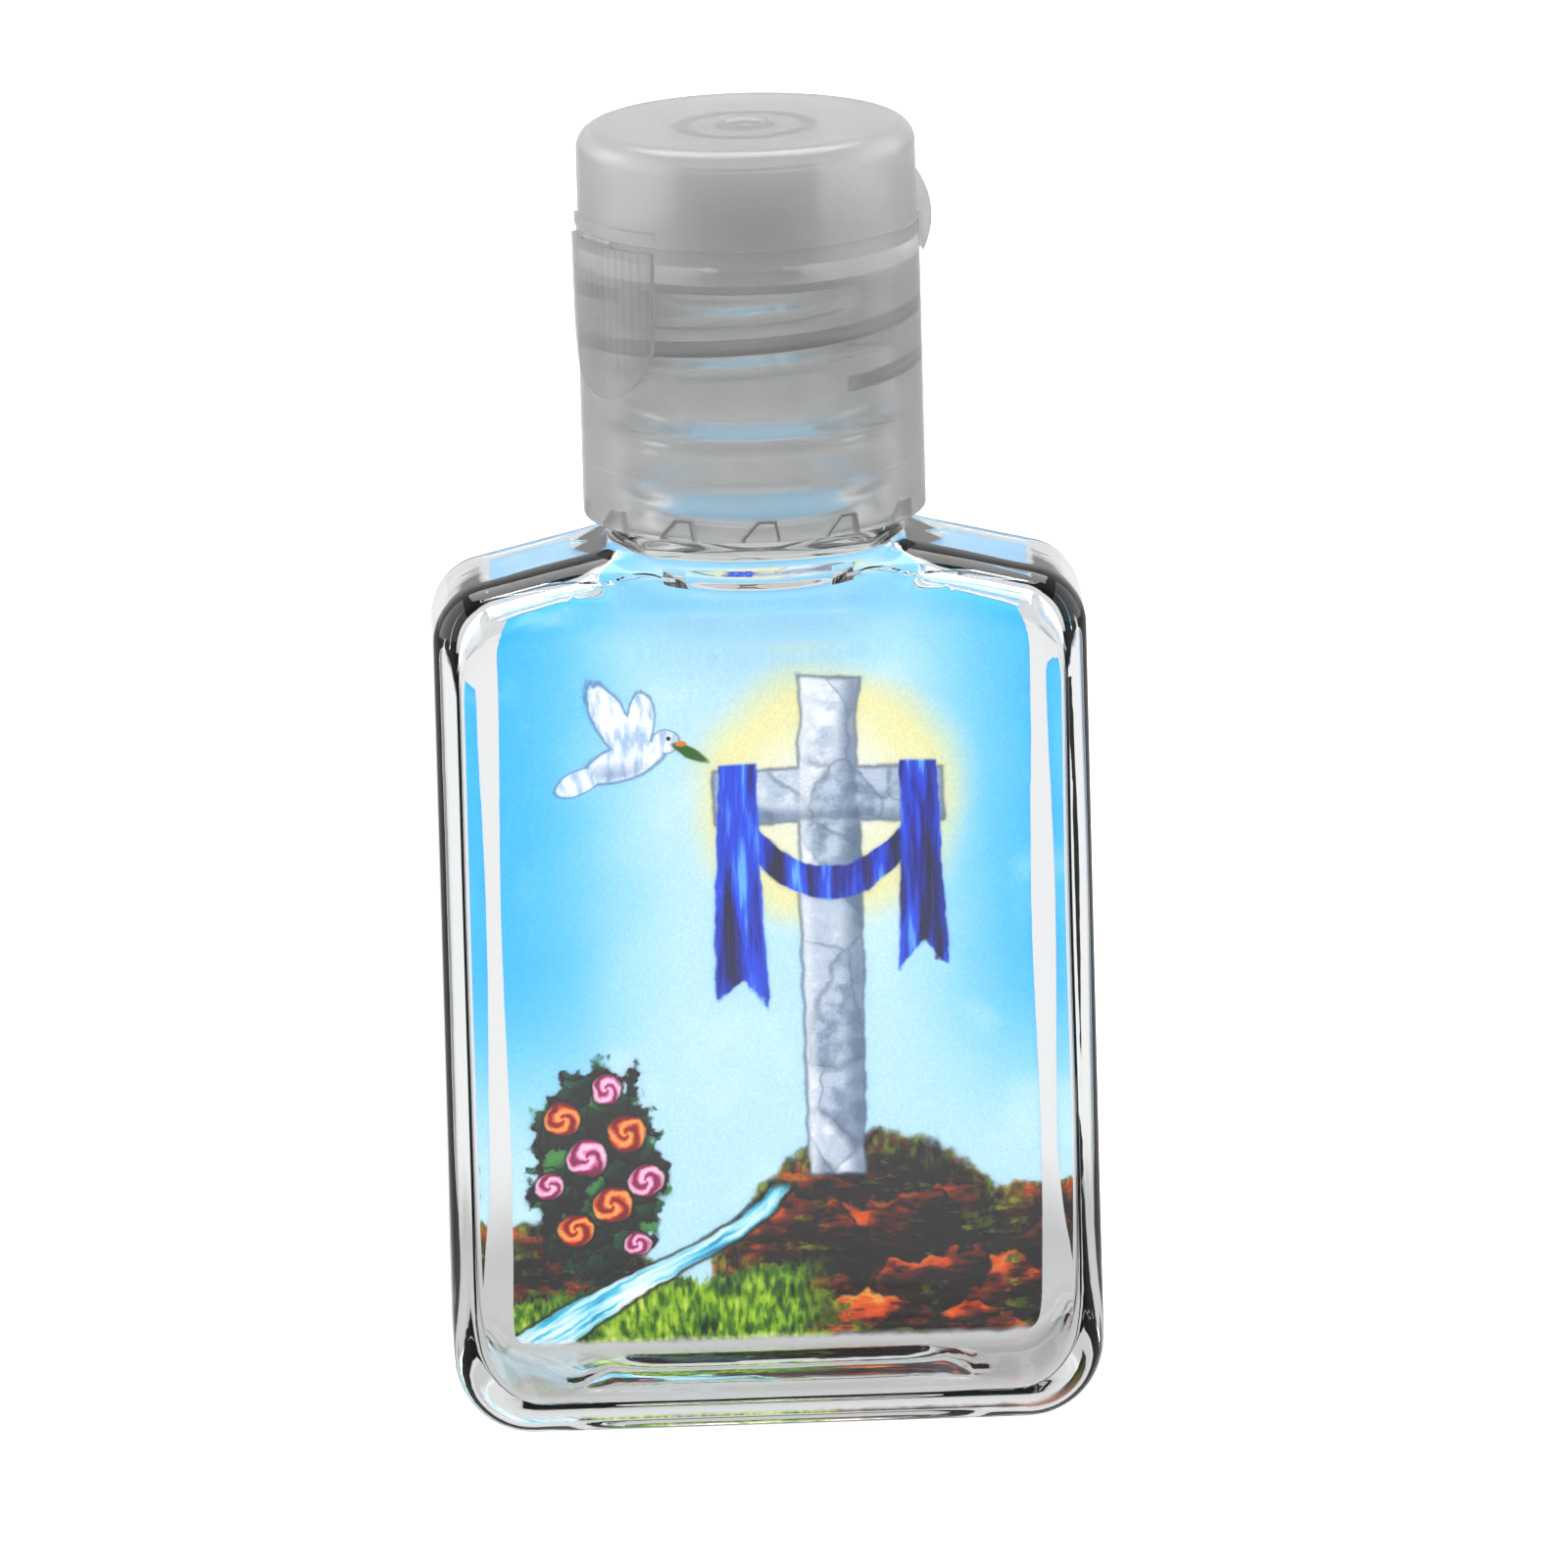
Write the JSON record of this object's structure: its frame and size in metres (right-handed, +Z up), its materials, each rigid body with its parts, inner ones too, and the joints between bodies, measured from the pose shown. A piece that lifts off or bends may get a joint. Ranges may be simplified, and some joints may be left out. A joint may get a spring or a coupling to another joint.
{
  "type": "holy water bottle",
  "caption": "Flat clear plastic flask for holy water with a printed picture film on its back and a translucent screw closure with a flip-up lid, pouring spout and snap hinge",
  "frame": {"origin": "middle of the standing face, on the resting plane", "axes": "+Z up along the neck axis, -Y to the front, +Y to the back with the film, +X to the right seen from the front"},
  "size_m": [0.04, 0.021, 0.0808],
  "materials": {
    "clear_plastic": "clear, glossy",
    "printed_film": "printed, see-through",
    "foam": "matt",
    "milky_plastic": "translucent, satin"
  },
  "bodies": {
    "flask": {"bottle": "clear_plastic", "picture_film": "printed_film"},
    "washer": {"sealing_washer": "foam"},
    "closure": {"cap_base": "milky_plastic", "hinge_tongue": "milky_plastic", "hinge_web": "milky_plastic"},
    "lid": {"flip_lid": "milky_plastic"}
  },
  "joints": [
    {"name": "cap_lift", "type": "slide", "parent": "flask", "child": "washer", "axis": [0, 0, 1], "range_m": [0, 0.00477]},
    {"name": "cap_twist", "type": "hinge", "parent": "washer", "child": "closure", "pos_m": [0, 0, 0.0718], "axis": [0, 0, 1], "range_deg": [0, 540]},
    {"name": "lid_flip", "type": "hinge", "parent": "closure", "child": "lid", "pos_m": [-0.00927, -0.00514, 0.07471], "axis": [0.4848, -0.8746, 0], "range_deg": [0, 135]}
  ],
  "couplings": [
    {"joint": "cap_lift", "follows": "cap_twist", "m_per_rad": 0.00050532}
  ]
}
